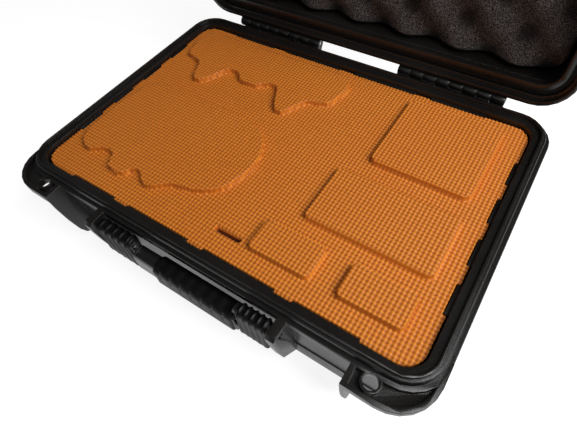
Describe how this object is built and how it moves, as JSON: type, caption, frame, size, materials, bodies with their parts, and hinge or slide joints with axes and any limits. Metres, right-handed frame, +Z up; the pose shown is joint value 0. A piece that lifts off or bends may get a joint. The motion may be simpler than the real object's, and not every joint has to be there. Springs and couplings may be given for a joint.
{
  "type": "hard equipment case",
  "caption": "Hinged moulded equipment case with a relief-faced foam insert, convoluted lid foam, folding rubber-gripped handle and draw latches.",
  "frame": {"origin": "centre of the storage bay, on the flat face the case rests on", "axes": "+Z up, -Y towards the handle, +Y towards the hinge, +X to the right seen from the handle side"},
  "size_m": [0.47, 0.4282, 0.4862],
  "materials": {
    "shell_plastic": "fine-textured black moulded plastic, slightly glossy",
    "fitting_plastic": "black moulded plastic fittings, satin",
    "soft_rubber": "smooth black rubber overmould",
    "seal_rubber": "matt black sealing rubber",
    "orange_foam": "orange closed-cell foam with a fine dotted grid",
    "grey_foam": "charcoal open-cell foam",
    "steel_pin": "bright drawn steel"
  },
  "bodies": {
    "base": {"base_shell": "shell_plastic", "foam_block": "grey_foam", "foam_top": "orange_foam", "hinge_pin_right": "steel_pin", "hinge_pin_left": "steel_pin", "handle_pin_right": "steel_pin", "handle_pin_left": "steel_pin"},
    "handle": {"handle_core": "fitting_plastic", "handle_grip": "soft_rubber", "handle_sleeve_right": "soft_rubber", "handle_sleeve_left": "soft_rubber"},
    "lid": {"lid_shell": "shell_plastic", "lid_seal": "seal_rubber", "lid_foam": "grey_foam", "valve_body": "fitting_plastic", "valve_seal": "seal_rubber", "valve_cap": "fitting_plastic", "latch_pin_right": "steel_pin", "latch_pin_left": "steel_pin"},
    "latch_arm_right": {"latch_arm_right": "fitting_plastic", "latch_link_pin_right": "steel_pin"},
    "latch_arm_left": {"latch_arm_left": "fitting_plastic", "latch_link_pin_left": "steel_pin"},
    "latch_lever_right": {"latch_lever_right": "fitting_plastic"},
    "latch_lever_left": {"latch_lever_left": "fitting_plastic"}
  },
  "joints": [
    {"name": "lid_hinge", "type": "hinge", "parent": "base", "child": "lid", "pos_m": [0, 0.1722, 0.0974], "axis": [-1, 0, 0], "range_deg": [-95, 0]},
    {"name": "handle_hinge", "type": "hinge", "parent": "base", "child": "handle", "pos_m": [0, -0.1694, 0.084], "axis": [-1, 0, 0], "range_deg": [0, 90]},
    {"name": "latch_arm_right_pivot", "type": "hinge", "parent": "lid", "child": "latch_arm_right", "pos_m": [0.141, 0.2125, 0.43638], "axis": [1, 0, 0], "range_deg": [0, 35]},
    {"name": "latch_arm_left_pivot", "type": "hinge", "parent": "lid", "child": "latch_arm_left", "pos_m": [-0.141, 0.2125, 0.43638], "axis": [1, 0, 0], "range_deg": [0, 35]},
    {"name": "latch_lever_right_pivot", "type": "hinge", "parent": "latch_arm_right", "child": "latch_lever_right", "pos_m": [0.141, 0.19028, 0.45502], "axis": [1, 0, 0], "range_deg": [0, 80]},
    {"name": "latch_lever_left_pivot", "type": "hinge", "parent": "latch_arm_left", "child": "latch_lever_left", "pos_m": [-0.141, 0.19028, 0.45502], "axis": [1, 0, 0], "range_deg": [0, 80]}
  ],
  "couplings": [
    {"joint": "latch_lever_right_pivot", "follows": "latch_arm_right_pivot", "ratio": 2.2857},
    {"joint": "latch_lever_left_pivot", "follows": "latch_arm_left_pivot", "ratio": 2.2857}
  ]
}
